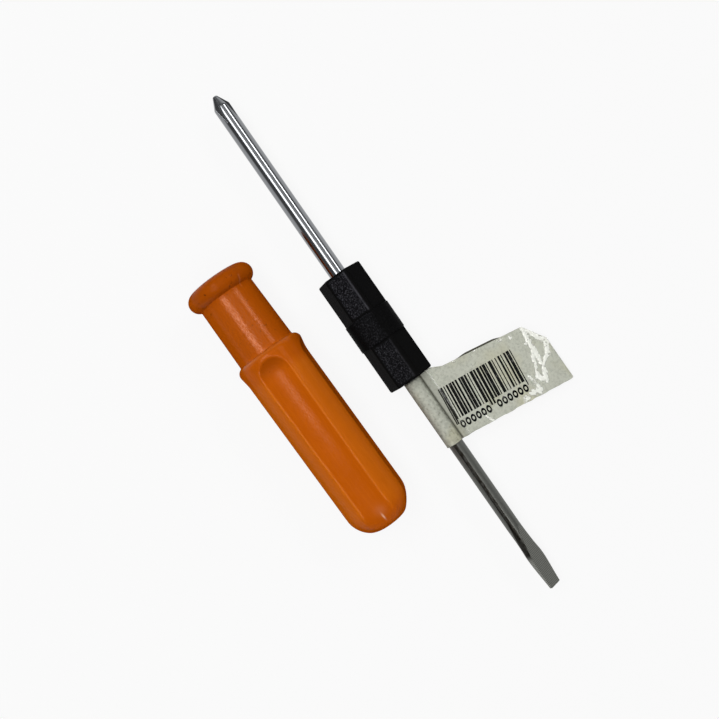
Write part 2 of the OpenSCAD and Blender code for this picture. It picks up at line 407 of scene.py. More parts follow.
@dataclass(frozen=True)
class SparkErodedNylon(Finish):
    """Black nylon from a mould with spark-eroded panels: satin frames round rough panels, greyer and with
    painted glints where they face the light.
    """
    name: str = "spark_eroded_nylon"
    colour: str = "#0D0D0D"
    panel: str = "#0F0F11"
    glint: str = "#3C3C40"
    roughness: Pair = (0.40, 0.55)
    gloss: float = 0.005
    ior: float = 1.53
    grit_mm: float = 0.36
    grit_deep: float = 0.08

    def lay(self, tree: Tree) -> tuple[Layers, Inputs]:
        """Rough panels by their mark, with painted glints on the grit's peaks, and a painted highlight line.

        Args:
            tree: The material's node tree.

        Returns:
            The layers of colour and the shader's other inputs.
        """
        at = add_node(tree, "TexCoord", out="Object")
        panel, wear_and_edge_glint = (add_node(tree, "Attribute", out="Fac", attribute_name=name)
                       for name in ("panel", "wear_and_edge_glint"))
        grit = add_node(tree, "TexNoise", {"Vector": at, "Scale": 1.0 / (self.grit_mm * MM)})
        # Painted glints on the grit's peaks, as strong as the panel mark
        grit_glint = add_node(tree, "MapRange", (grit, 0.48, 0.7))
        grit_glint = add_node(tree, "Math", (grit_glint, panel), operation="MULTIPLY")
        rough = add_node(tree, "Mix", {0: panel, 2: self.roughness[0], 3: self.roughness[1]})
        depth = add_node(tree, "MapRange", (panel, 0.0, 1.0, 0.15, 1.0))
        height = add_node(tree, "Math", (grit, depth), operation="MULTIPLY")
        bump = add_node(tree, "Bump", {"Height": height, "Strength": 0.7, "Distance": self.grit_deep * MM})
        # The last layer paints a highlight line along the upper flat's far edge
        layers = [(panel, self.panel), (grit_glint, self.glint), (wear_and_edge_glint, self.glint)]
        return layers, {"Roughness": rough, "Normal": bump, "Specular IOR Level": self.gloss,
                        "IOR": self.ior}


@dataclass(frozen=True)
class CoatedPaper(Finish):
    """White coated label paper, printed with plain random bars over a row of noughts."""
    name: str = "coated_label_paper"
    colour: str = "#C0C2B5"
    fibre: str = "#ABADA0"
    glue: str = "#BDB893"
    ink: str = "#090A0B"
    grime_and_shade: str = "#4B4A40"
    roughness: float = 0.6
    gloss: float = 0.03
    ior: float = 1.5
    fibre_mm: float = 0.8
    fibre_deep: float = 0.03
    glue_mm: float = 9.0
    cell_mm: float = 1.0
    bar_half: Pair = (0.16, 0.46)
    bar_steps: float = 2.0
    bar_middle: Pair = (0.38, 0.62)
    middle: float = 14.8
    half: float = 12.2
    bar_top: float = 6.0
    bar_foot: float = 16.0
    guard_foot: float = 17.4
    guard_mm: float = 0.9
    nought_row: float = 17.9
    nought_pitch: float = 1.733
    nought_half: Pair = (0.74, 1.16)
    nought_ring: Pair = (0.74, 0.3)

    def lay_print(self, tree: Tree) -> Socket:
        """Where the ink lies, from the print mark: mm along the bars, mm down them, and 1 on that face.

        Args:
            tree: The material's node tree.

        Returns:
            1 on ink, 0 on bare paper.
        """
        mark = add_node(tree, "Attribute", out="Vector", attribute_name="print")
        along, down, face = add_node(tree, "SeparateXYZ", (mark,)).node.outputs
        # Each cell holds one bar of three widths, and chance picks its width and its place
        cell = add_node(tree, "Math", (along, self.cell_mm), operation="DIVIDE")
        number = add_node(tree, "Math", (cell,), operation="FLOOR")
        chance = add_node(tree, "TexWhiteNoise", {"W": number}, "Color", noise_dimensions="1D")
        first, second, _ = add_node(tree, "SeparateXYZ", (chance,)).node.outputs
        half = add_node(tree, "MapRange", (first, 0.0, 1.0, *self.bar_half, self.bar_steps),
                        interpolation_type="STEPPED")
        middle = add_node(tree, "MapRange", (second, 0.0, 1.0, *self.bar_middle))
        place = add_node(tree, "Math", (cell,), operation="FRACT")
        bar = add_node(tree, "Math", (place, middle, half), operation="COMPARE")
        # Guard bars at the block's middle and at both its ends reach lower than the bars over the noughts
        away = add_node(tree, "Math", (along, self.middle), operation="SUBTRACT")
        away = add_node(tree, "Math", (away,), operation="ABSOLUTE")
        block = add_node(tree, "Math", (away, self.half), operation="LESS_THAN")
        inner = add_node(tree, "Math", (away, self.half / 2.0, self.half / 2.0 - self.guard_mm),
                         operation="COMPARE")
        foot = add_node(tree, "MapRange", (inner, 0.0, 1.0, self.guard_foot, self.bar_foot))
        above = add_node(tree, "Math", (down, foot), operation="LESS_THAN")
        below = add_node(tree, "Math", (down, self.bar_top), operation="GREATER_THAN")
        for limit in (block, above, below):
            bar = add_node(tree, "Math", (bar, limit), operation="MULTIPLY")
        # A nought is the ring between two ellipses in the middle of its own cell
        side = add_node(tree, "Math", (away, self.guard_mm), operation="SUBTRACT")
        side = add_node(tree, "Math", (side, self.nought_pitch / 2.0), operation="PINGPONG")
        spot = add_node(tree, "CombineXYZ", (side, down))
        centre = (self.nought_pitch / 2.0, self.nought_row, 0.0)
        spot = add_node(tree, "VectorMath", (spot, centre), operation="SUBTRACT")
        spot = add_node(tree, "VectorMath", (spot, (*self.nought_half, 1.0)), operation="DIVIDE")
        reach = add_node(tree, "VectorMath", (spot,), "Value", operation="LENGTH")
        ring = add_node(tree, "Math", (reach, *self.nought_ring), operation="COMPARE")
        ring = add_node(tree, "Math", (ring, inner), operation="MULTIPLY")
        ink = add_node(tree, "Math", (bar, ring), operation="MAXIMUM")
        return add_node(tree, "Math", (ink, face), operation="MULTIPLY")

    def lay(self, tree: Tree) -> tuple[Layers, Inputs]:
        """Mottled white with yellowed glue in places, then the print, and grime with painted shade in the
        crease and round the wrap.

        Args:
            tree: The material's node tree.

        Returns:
            The layers of colour and the shader's other inputs.
        """
        at = add_node(tree, "TexCoord", out="Object")
        # Grime, with painted shade in the crease, the fold and round the wrap
        grime_and_shade = add_node(tree, "Attribute", out="Fac", attribute_name="grime_and_shade")
        fibre, blotch = (
            add_node(tree, "TexNoise", {"Vector": at, "Scale": 1.0 / (size * MM), "Detail": detail})
            for size, detail in ((self.fibre_mm, 4.0), (self.glue_mm, 1.0)))
        mottle = add_node(tree, "MapRange", (fibre, 0.45, 0.7))
        blotch = add_node(tree, "MapRange", (blotch, 0.55, 0.75, 0.0, 0.4))
        wear_and_edge_glint = add_node(tree, "MapRange", (fibre, 0.3, 0.7, 1.0, 0.99))
        ink = add_node(tree, "Math", (self.lay_print(tree), wear_and_edge_glint), operation="MULTIPLY")
        bump = add_node(tree, "Bump", {"Height": fibre, "Strength": 0.3, "Distance": self.fibre_deep * MM})
        layers = [(mottle, self.fibre), (blotch, self.glue), (ink, self.ink), (grime_and_shade, self.grime_and_shade)]
        return layers, {"Normal": bump, "Roughness": self.roughness, "IOR": self.ior,
                        "Specular IOR Level": self.gloss}


@dataclass(frozen=True)
class AdhesiveFilm(Finish):
    """Clear adhesive tape: all but invisible where it is stuck flat, and milky white, as a painted
    highlight, where it has lifted.
    """
    name: str = "clear_adhesive_film"
    colour: str = "#FAFBF2"
    stuck: float = 0.002
    lifted_glint_alpha: float = 0.9
    roughness: float = 0.14
    ior: float = 1.47
    bubble_mm: float = 1.6
    bubble_deep: float = 0.04

    def lay(self, tree: Tree) -> tuple[Layers, Inputs]:
        """Opacity follows the lift mark, which paints highlights white, with small bubbles in the glue.

        Args:
            tree: The material's node tree.

        Returns:
            No layers of colour, and the shader's other inputs.
        """
        at = add_node(tree, "TexCoord", out="Object")
        lift = add_node(tree, "Attribute", out="Fac", attribute_name="lift")
        bubble = add_node(tree, "TexNoise", {"Vector": at, "Scale": 1.0 / (self.bubble_mm * MM)})
        trapped = add_node(tree, "MapRange", (bubble, 0.64, 0.8, 0.0, 0.2))
        milky_glint = add_node(tree, "Math", (lift, trapped), operation="ADD", use_clamp=True)
        # Painted highlight: the film turns opaque white where it has lifted
        alpha = add_node(tree, "MapRange", (milky_glint, 0.0, 1.0, self.stuck, self.lifted_glint_alpha))
        bump = add_node(tree, "Bump", {"Height": bubble, "Strength": 0.25,
                                       "Distance": self.bubble_deep * MM})
        return [], {"Alpha": alpha, "Normal": bump, "Roughness": self.roughness, "IOR": self.ior}


@dataclass(frozen=True)
class Place:
    """Frame that a half of the screwdriver is drawn in: its origin in mm and its axes as rows."""
    origin: Array
    axes: Array

    def metres(self, points: Array) -> Array:
        """Points of this frame, in mm, as points of the shared frame in metres."""
        return (self.origin + points @ self.axes) * MM

    @classmethod
    def of_handle(cls) -> "Place":
        """The shared frame itself, whose X axis is the handle's."""
        return cls(np.zeros(3), np.eye(3))

    @classmethod
    def of_blade(cls) -> "Place":
        """Find the frame at the carrier's middle, with X along the blade towards its slotted tip.

        Returns:
            That frame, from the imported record's mounts and the carrier's box.
        """
        tips = {m["name"]: np.array(m["pos_m"]) for m in frame["record"]["mounts"]}
        along = tips["slotted_tip"] - tips["cross_tip"]
        along /= np.linalg.norm(along)
        up = np.array([0.0, 0.0, 1.0])
        low, high = (np.array(corner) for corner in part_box("hex_carrier"))
        return cls((low + high) / 2.0 / MM, np.stack([along, np.cross(up, along), up]))


@dataclass
class Skin:
    """Grid of points over a surface, rows by columns, with the marks that its finish reads.

    Neighbouring points of the grid make a four-sided face. Rows or columns may close on
    themselves, and a pole closes the first or the last row with a fan of triangles.
    """
    points: Array
    marks: dict[str, Array] = field(default_factory=dict)
    start_pole: Optional[Array] = None
    end_pole: Optional[Array] = None
    ring_rows: bool = False
    ring_columns: bool = True

    def faces(self) -> tuple[Array, Array]:
        """Number the corners of the faces.

        Returns:
            The quads, and the triangles at the poles.
        """
        rows, columns = self.points.shape[:2]
        ids = np.arange(rows * columns).reshape(rows, columns)
        if self.ring_rows:
            ids = np.concatenate([ids, ids[:1]])
        if self.ring_columns:
            ids = np.concatenate([ids, ids[:, :1]], axis=1)
        quads = np.stack([ids[:-1, :-1], ids[:-1, 1:], ids[1:, 1:], ids[1:, :-1]], axis=-1)
        fans = [np.zeros((0, 3), int)]
        pole = rows * columns
        for at, row, order in ((self.start_pole, ids[0], 1), (self.end_pole, ids[-1], -1)):
            if at is not None:
                fan = np.stack([np.full(len(row) - 1, pole), row[1:], row[:-1]], axis=-1)
                fans.append(fan[:, ::order])
                pole += 1
        return quads.reshape(-1, 4), np.concatenate(fans)

    def build(self, name: str, place: Place, finish: Optional[Finish] = None, wall: float = 0.0) -> Piece:
        """Write the surface to a new object, faces outwards, and dress it.

        Args:
            name: Name of the piece.
            place: Frame that the points are given in.
            finish: Finish of the piece, if it has one of its own.
            wall: Thickness in mm of a sheet whose middle the surface is, or 0 for a closed surface.

        Returns:
            The new object, linked to the scene.
        """
        poles = [p[None] for p in (self.start_pole, self.end_pole) if p is not None]
        points = place.metres(np.concatenate([self.points.reshape(-1, 3), *poles]))
        quads, fans = self.faces()
        corners = np.concatenate([quads[:, [0, 1, 2]], quads[:, [0, 2, 3]], fans])
        a, b, c = (points[corners[:, i]] - points.mean(axis=0) for i in range(3))
        if np.einsum("ij,ij->i", a, np.cross(b, c)).sum() < 0.0:
            quads, fans = quads[:, ::-1], fans[:, ::-1]
        mesh = bpy.data.meshes.new(name)
        mesh.vertices.add(len(points))
        mesh.vertices.foreach_set("co", points.ravel())
        mesh.loops.add(quads.size + fans.size)
        mesh.loops.foreach_set("vertex_index", np.concatenate([quads.ravel(), fans.ravel()]))
        mesh.polygons.add(len(quads) + len(fans))
        starts = [np.arange(len(quads)) * 4, quads.size + np.arange(len(fans)) * 3]
        mesh.polygons.foreach_set("loop_start", np.concatenate(starts))
        mesh.update(calc_edges=True)
        mesh.validate()
        mesh.shade_smooth()
        mesh.set_sharp_from_angle(angle=SHARP)
        self.write_marks(mesh)
        piece = bpy.data.objects.new(name, mesh)
        bpy.context.collection.objects.link(piece)
        if wall:
            sheet = piece.modifiers.new("sheet", "SOLIDIFY")
            sheet.thickness = wall * MM
            sheet.offset = 0.0
        if finish:
            finish.dress(piece)
        return piece

    def write_marks(self, mesh: bpy.types.Mesh) -> None:
        """Store each mark on the mesh's points, with the mean of its end row at a pole.

        Args:
            mesh: The mesh that was made from this grid.
        """
        for name, values in self.marks.items():
            wide = values.ndim == 3
            flat = values.reshape(-1, 3 if wide else 1)
            ends = [values[i].mean(axis=0).reshape(1, -1)
                    for i, pole in ((0, self.start_pole), (-1, self.end_pole)) if pole is not None]
            layer = mesh.attributes.new(name, "FLOAT_VECTOR" if wide else "FLOAT", "POINT")
            layer.data.foreach_set("vector" if wide else "value", np.concatenate([flat, *ends]).ravel())


@dataclass
class Turned:
    """A piece drawn round the X axis, in columns at even turns."""
    finish: Finish
    columns: int

    @property
    def turns(self) -> Array:
        """Turn round the axis of each column."""
        return np.linspace(0.0, 2.0 * math.pi, self.columns, endpoint=False)

    def stretch(self, *fields: Any) -> Array:
        """Fields over a stretch of the piece, each spread to rows by columns, in one stack."""
        return np.stack(np.broadcast_arrays(*fields, self.turns)[:-1])


@dataclass
class Handle(Turned):
    """Hollow fluted handle, drawn as one closed skin from the end of its hole to its domed end."""
    finish: Finish = field(default_factory=MouldedPolypropylene)
    columns: int = 360
    flange_rim_r: float = 2.9
    flange_r: float = 10.4
    neck_r: Pair = (8.4, 8.75)
    shoulder_x: float = 24.7
    shoulder_r: float = 2.0
    grip_r: Pair = (10.3, 10.03)
    close_rows_x: float = 36.0
    dome_x: float = 76.5
    dome_r: float = 7.5
    flute_x: float = 31.5
    flute_axis_r: float = 31.75
    flute_hollow_r: float = 23.0
    flute_scoop_r: float = 7.8
    flute_runout_r: float = 12.0
    flute_runout_x: float = 75.5
    turn: float = math.radians(5.0)
    socket_half: float = 6.2
    socket_depth: float = 10.9
    lead_r: float = 7.76
    hole_r: float = 3.25
    hole_end: float = 82.4
    nick_turn: float = math.radians(-40.0)
    nick_half: float = 0.25
    nick_depth: float = 0.15
    nick_x: Stretch = (3.2, 4.0, 5.6, 6.6)
    land_x: Stretch = (29.5, 34.0, 75.5, 81.5)
    soil_and_shade_shares: tuple[float, float, float] = (0.45, 0.45, 0.9)
    foot_soil_x: Pair = (7.5, 5.0)
    neck_soil_x: Pair = (23.0, 26.0)
    scoop_shade_x: Pair = (33.0, 28.5)
    shine_z: Pair = (5.8, 8.3)
    shine_far_y: Pair = (2.0, 4.4)
    flange_shine_x: Pair = (5.5, 7.5)
    grip_dull_x: Pair = (25.0, 27.0)
    flute_dull_x: Pair = (81.0, 77.0)
    shine_side: Pair = (-0.85, 1.25)
    shine_x: Stretch = (30.5, 32.5, 36.0, 68.0)
    spike_glint_x: Pair = (80.3, 0.9)
    spike_glint_side: Pair = (-0.55, 0.22)
    spike_glow_x: Pair = (78.4, 1.5)
    spike_glow_side: Pair = (-0.9, 1.5)

    @property
    def grip_x(self) -> float:
        """Where the rounded shoulder runs into the grip."""
        return self.shoulder_x + self.shoulder_r

    def neck(self, x: Array) -> Array:
        """Radius of the neck, a straight taper from the flange's middle to the grip."""
        return np.interp(x, (self.flange_rim_r, self.grip_x), self.neck_r)

    def turned_profile(self) -> Array:
        """Half section of the turned body, from the rim to the closed end.

        The flange is most of a circle, the neck a taper, the shoulder a quarter circle that
        rises out of the neck through a small fillet, the grip a taper and the end a quarter
        circle with a small flat in its middle.

        Returns:
            Distance from the mouth and radius, each as a column.
        """
        sweep = np.radians(np.linspace(4.0, 176.0, 40))
        flange_x = self.flange_rim_r * (1.0 - np.cos(sweep))
        flange = self.flange_r - self.flange_rim_r * (1.0 - np.sin(sweep))
        flange = np.where(sweep > math.pi / 2, smooth_max(flange, self.neck(flange_x), 0.5), flange)
        fillet_x, root_x = self.shoulder_x - 0.5, self.shoulder_x + 0.05
        neck_x = stations((2.0 * self.flange_rim_r + 0.15, fillet_x, 14), (fillet_x, root_x, 6))
        neck = self.neck(neck_x) + 0.1 * ramp(neck_x, fillet_x + 0.1, root_x)
        lean = np.radians(np.linspace(13.0, 88.0, 24))
        shoulder_x = self.grip_x - self.shoulder_r * np.cos(lean)
        shoulder = self.grip_r[0] - self.shoulder_r * (1.0 - np.sin(lean))
        shoulder = smooth_max(shoulder, self.neck(shoulder_x), 0.4)
        grip_x = stations((self.grip_x, self.close_rows_x, 46), (self.close_rows_x, self.dome_x, 40))
        grip = np.interp(grip_x, (self.grip_x, self.dome_x), self.grip_r)
        bow = np.radians(np.linspace(0.0, 89.0, 40))
        dome_x = self.dome_x + self.dome_r * np.sin(bow)
        dome = self.grip_r[1] - self.dome_r * (1.0 - np.cos(bow))
        flat_x = np.full(3, self.dome_x + self.dome_r)
        flat = (self.grip_r[1] - self.dome_r) * np.array([0.75, 0.5, 0.25])
        legs = [(flange_x, flange), (neck_x, neck), (shoulder_x, shoulder), (grip_x, grip), (dome_x, dome),
                (flat_x, flat)]
        return np.concatenate(legs, axis=1)[..., None]

    def flute(self, x: Array) -> Array:
        """Distance from the axis to the floor of the nearest flute.

        A flute is the side of a wide bar whose own axis lies parallel to the handle's:
        r = D cos a - sqrt(R^2 - D^2 sin^2 a). Its front end is rounded and its back end flared,
        so that R shrinks along one circle there and grows along another here.

        Args:
            x: Distance from the mouth, as a column.

        Returns:
            That distance, rows by columns, or a large one where there is no flute.
        """
        ahead = np.clip(self.flute_x - x, 0.0, self.flute_scoop_r)
        behind = np.maximum(x - self.flute_runout_x, 0.0)
        hollow = self.flute_hollow_r - self.flute_scoop_r + np.sqrt(self.flute_scoop_r ** 2 - ahead ** 2)
        hollow = hollow + self.flute_runout_r - np.sqrt(self.flute_runout_r ** 2 - behind ** 2)
        angle = near(self.turns, self.turn, 4)
        inside = hollow ** 2 - (self.flute_axis_r * np.sin(angle)) ** 2
        floor = self.flute_axis_r * np.cos(angle) - np.sqrt(np.maximum(inside, 0.0))
        return np.where((inside > 0.0) & (self.flute_x - x < self.flute_scoop_r), floor, NOWHERE)

    def hollow(self) -> Array:
        """Inside of the handle, from the end of the blade hole out to the mouth.

        The hole is round. The socket is a hexagon, half / cos a from its nearest flat, and the
        lead-in is a cone of 45 degrees that the hexagon's corners run out of.

        Returns:
            Distance from the mouth and radius, rows by columns.
        """
        hexagon = self.socket_half / np.cos(near(self.turns, self.turn, 6))
        hole_x = column(self.hole_end, self.hole_end, 60.0, 35.0, self.socket_depth + 0.4, self.socket_depth)
        hole = self.hole_r * column(0.5, 1.0, 1.0, 1.0, 1.0, 1.0)
        floor = self.hole_r + (hexagon - self.hole_r) * column(0.03, 0.35, 0.7, 0.98)
        lead_x = np.linspace(1.6, 0.06, 10)[:, None]
        lead = smooth_max(hexagon, self.lead_r - lead_x, 0.12)
        return np.concatenate([self.stretch(hole_x, hole), self.stretch(self.socket_depth, floor),
                               self.stretch(column(10.6, 8.0, 5.0, 3.0, 2.0), hexagon),
                               self.stretch(lead_x, lead)], axis=1)

    def nick(self, x: Array) -> Array:
        """Short scratch over the flange's foot, a bell curve round the handle, from 0 to 1."""
        aside = near(self.turns, self.nick_turn, 1) * self.flange_r
        return bell(aside, 0.0, self.nick_half) * between(x, *self.nick_x)

    def wear(self, x: Array, radius: Array, proud: Array, nick: Array) -> dict[str, Array]:
        """Marks of use that the finish reads.

        Args:
            x: Distance from the mouth, with the hollow's rows first.
            radius: Distance from the axis, with the hollow's rows first.
            proud: How far a flute's floor lies over the turned body, on the outer rows only.
            nick: The scratch in the flange, on the outer rows only.

        Returns:
            Paler lands with painted edge highlights, soil with painted shade, polish, and a painted glint
            with a whitened nick, each from 0 to about 1.
        """
        turn = self.turns
        outer = slice(len(x) - len(proud), None)
        out_x = x[outer]
        aside = radius[outer] * near(turn, self.turn, 1)
        # Lands are paler, and a painted highlight runs along each flute's edge
        land = 0.45 * ramp(proud, -0.1, 0.5) + 0.6 * bell(proud, 0.0, 0.24)
        land *= between(out_x, *self.land_x)
        # Painted highlight along the shoulder's edge
        shoulder = 0.5 * bell(out_x, self.shoulder_x + 0.5, 0.5) * ramp(proud, -0.6, 0.2)
        pale_land_and_highlight, glint_and_bruise = np.zeros_like(x), np.zeros_like(x)
        pale_land_and_highlight[outer] = np.maximum(np.maximum(land, shoulder), 0.6 * nick)
        # Soil lies on the neck, most by the flange, and painted shade lies in the scoops where the flutes
        # begin
        neck, foot, scoop = self.soil_and_shade_shares
        soil_and_shade = neck + foot * ramp(x, *self.foot_soil_x) - neck * ramp(x, *self.neck_soil_x)
        # Less of it down both sides, as painted light from the side
        soil_and_shade *= 1.0 - 0.6 * ramp(np.abs(np.sin(turn)), 0.65, 0.92)
        soil_and_shade[outer] += scoop * ramp(-proud, 0.0, 0.5) * ramp(out_x, *self.scoop_shade_x)
        # Polish fades down both sides and on the grip, and among the flutes it keeps to a strip
        # along the upper one
        polish = ramp(radius * np.cos(turn), *self.shine_z) * (0.15 + 0.85 * ramp(x, *self.flange_shine_x))
        polish *= 1.0 - 0.55 * ramp(-radius * np.sin(turn), *self.shine_far_y)
        strip = bell(aside, *self.shine_side) * between(out_x, *self.shine_x)
        fluted = ramp(-proud, 0.0, 0.4) * ramp(out_x, *self.flute_dull_x)
        polish[outer] *= (1.0 - (0.95 - 0.45 * strip) * fluted
                          - 0.6 * ramp(out_x, *self.grip_dull_x) * (1.0 - fluted))
        # Painted highlight where the upper flute runs out over the rounded end: a short bright line in a
        # pale painted glow
        spike_glint = 0.85 * bell(out_x, *self.spike_glint_x) * bell(aside, *self.spike_glint_side)
        spike_glow = 0.07 * bell(out_x, *self.spike_glow_x) * bell(aside, *self.spike_glow_side)
        glint_and_bruise[outer] = spike_glint + spike_glow + 0.07 * nick
        return {"pale_land_and_highlight": pale_land_and_highlight, "soil_and_shade": soil_and_shade, "polish": polish, "glint_and_bruise": glint_and_bruise}

    def build(self) -> Piece:
        """Make the handle and dress it.

        Returns:
            The handle's object.
        """
        profile_x, body = self.turned_profile()
        floor = self.flute(profile_x)
        nick = self.nick(profile_x)
        # The crease between land and flute softens over the rounded end
        crease = 0.3 + 0.9 * ramp(profile_x, self.dome_x, self.dome_x + 6.0)
        outer = smooth_min(body, floor, crease) - self.nick_depth * nick
        x, radius = np.concatenate([self.hollow(), self.stretch(profile_x, outer)], axis=1)
        skin = Skin(around(x, radius, self.turns), self.wear(x, radius, floor - body, nick),
                    start_pole=np.array([self.hole_end, 0.0, 0.0]),
                    end_pole=np.array([self.dome_x + self.dome_r, 0.0, 0.0]))
        return skin.build("fluted_handle", Place.of_handle(), self.finish)


@dataclass
class Blade(Turned):
    """Double-ended steel blade, drawn as one closed skin from its cross tip to its slotted tip."""
    finish: Finish = field(default_factory=ChromePlate)
    columns: int = 360
    cross_tip_x: float = -79.525
    cross_r: float = 2.5
    nose_r: float = 0.7
    nose_edge: Pair = (0.12, 0.06)
    cone: float = math.tan(math.radians(26.5))
    core_r: float = 0.5
    groove_l: float = 8.8
    groove_turn: float = math.radians(28.0)
    step_x: float = -18.175
    bar_r: float = 2.25
    carrier_end: float = 18.125
    neck_r: float = 2.1
    spade_x: float = 68.725
    wide_x: float = 80.625
    tip_x: float = 89.125
    tip_edge: Pair = (0.15, 0.1)
    wide: float = 2.5
    tip_wide: float = 1.95
    tip_half: float = 0.4
    shift: float = 0.35
    hollow_grind: float = 1.5
    dark_reflection_turn: float = math.radians(16.0)
    dark_reflection_half: float = math.radians(14.0)
    faint_turn: float = math.radians(-17.0)
    faint_share: float = 0.22
    spade_turn: float = math.radians(-35.0)
    wing_half: tuple[float, float, float] = (3.0, 4.0, 0.7)
    wing_turn: float = math.radians(9.0)

    def cross_end(self) -> Array:
        """Four-winged point and its round shank.

        The point is a cone on the bar. Each groove between two wings is square, and its foot
        rises from the core to the bar's surface: r = h / (cos a - |sin a|).

        Returns:
            Distance along the blade, radius and no grinding, rows by columns.
        """
        tip = self.cross_tip_x
        edge_l, edge_r = self.nose_edge
        legs = (tip, tip + edge_l, tip + 4.2, tip + 9.4, self.step_x)
        x = stations(*zip(legs, legs[1:], (3, 52, 72, 18)))[:, None]
        cone = self.nose_r - edge_r + edge_r * ramp(x, tip, tip + edge_l) + (x - tip) * self.cone
        cone = smooth_min(cone, self.cross_r, 0.12)
        foot = self.core_r + (self.cross_r - self.core_r) * (x - tip) / self.groove_l
        angle = near(self.turns, self.groove_turn, 4)
        groove = foot / np.maximum(np.cos(angle) - np.abs(np.sin(angle)), 0.02)
        return self.stretch(x, smooth_min(cone, groove, 0.03), 0.0)

    def middle(self) -> Array:
        """Thinner bar through the carrier, with its pressed wings, and the taper to the spade.

        The wings are a box across the bar: the smaller of wide / |sin a| and thick / cos a.

        Returns:
            Distance along the blade, radius and no grinding, rows by columns.
        """
        reach, wide, thick = self.wing_half
        x = np.concatenate([[self.step_x, self.step_x, -reach, -reach, reach, reach, self.carrier_end],
                            stations((self.carrier_end + 0.475, self.spade_x, 24))])
        bar = np.interp(x, (self.carrier_end, self.spade_x), (self.bar_r, self.neck_r))
        bar[0] = self.cross_r
        angle = near(self.turns, self.wing_turn, 2)
        sine, cosine = np.maximum(np.abs(np.sin(angle)), 0.05), np.maximum(np.cos(angle), 0.05)
        box = np.minimum(wide / sine, thick / cosine)
        made = self.stretch(x[:, None], bar[:, None], 0.0)
        made[1, 3:5] = np.maximum(made[1, 3:5], box)
        return made

    def spade(self) -> Array:
        """Flattened end: a rounded section that widens and then narrows, cut by two ground planes.

        The section is |across / w|^p + |up / h|^p = 1, with p rising from 2 to 4, and each flat
        lies at r = f / |cos a|, with f falling along a hollow curve to half the tip's thickness.

        Returns:
            Distance along the blade, radius, and how far a point is on a ground plane.
        """
        edge_l, edge_r = self.tip_edge
        x = stations((self.spade_x, self.tip_x - edge_l, 70), (self.tip_x - edge_l, self.tip_x, 4))[:, None]
        share = (x - self.spade_x) / (self.tip_x - self.spade_x)
        half = self.neck_r + (self.wide - self.neck_r) * ramp(x, self.spade_x + 2.0, self.wide_x + 1.5)
        narrow = self.tip_wide + (self.wide - self.tip_wide) * (self.tip_x - x) / (self.tip_x - self.wide_x)
        half = smooth_min(half, narrow, 0.3) - edge_r * ramp(x, self.tip_x - edge_l, self.tip_x)
        power = 2.0 + 2.0 * ramp(share, 0.3, 0.8)
        angle = self.turns - self.spade_turn
        across, up = np.abs(np.sin(angle)) + 1e-6, np.abs(np.cos(angle)) + 1e-6
        round_r = ((across / half) ** power + (up / self.neck_r) ** power) ** (-1.0 / power)
        plane = (self.tip_half + (self.neck_r - self.tip_half) * (1.0 - share) ** self.hollow_grind) / up
        ground = np.maximum(ramp(round_r - plane, -0.02, 0.12), ramp(x, self.wide_x - 3.0, self.wide_x))
        return self.stretch(x, smooth_min(round_r, plane, 0.08), ground)

    def dark_reflection(self, x: Array) -> Array:
        """Painted dark reflection: a stripe along the slotted shank, a little off its top, with a faint one
        beside it.

        It wanders slightly, and it turns, widens and spreads down the side of the spade.

        Args:
            x: Distance along the blade.

        Returns:
            A share from 0 to 1.
        """
        spread = ramp(x, self.spade_x - 3.0, self.spade_x + 9.0)
        away = self.turns - self.dark_reflection_turn - 0.5 * spread + 0.04 * grain(x, 0.0, 3.0, Seed.DARK_REFLECTION)
        away = np.abs(near(away, 0.0, 1)) / (self.dark_reflection_half * (1.0 + 1.3 * spread))
        faint = self.turns - self.faint_turn + 0.08 * grain(x, 0.0, 4.0, Seed.FAINT_DARK_REFLECTION)
        faint = np.abs(near(faint, 0.0, 1)) / self.dark_reflection_half
        stripe = np.maximum(ramp(away, 1.3, 0.8), self.faint_share * ramp(faint, 1.3, 0.7))
        return stripe * ramp(x, self.wide_x + 2.0, self.wide_x - 1.0)

    def build(self) -> Piece:
        """Make the blade and dress it.

        Returns:
            The blade's object.
        """
        cross, spade = self.cross_end(), self.spade()
        nose = self.stretch(self.cross_tip_x, cross[1, :1] * column(0.5, 0.9), 0.0)
        end = self.stretch(self.tip_x, spade[1, -1:] * column(0.95, 0.5), 1.0)
        x, radius, ground = np.concatenate([nose, cross, self.middle(), spade, end], axis=1)
        dull = ramp(x, self.carrier_end - 1.0, self.carrier_end + 1.0)
        # Painted dark reflection along the slotted shank, kept off the ground flats
        dark_reflection = dull * (1.0 - ground) * self.dark_reflection(x)
        points = around(x, radius, self.turns)
        aside = self.shift * np.clip((x - self.spade_x) / (self.wide_x - self.spade_x), 0.0, 1.0)
        points[..., 1] += aside * math.cos(self.spade_turn)
        points[..., 2] += aside * math.sin(self.spade_turn)
        skin = Skin(points, {"ground": ground, "dull": dull, "dark_reflection": dark_reflection},
                    start_pole=np.array([self.cross_tip_x, 0.0, 0.0]), end_pole=points[-1].mean(axis=0))
        return skin.build("double_ended_blade", Place.of_blade(), self.finish)


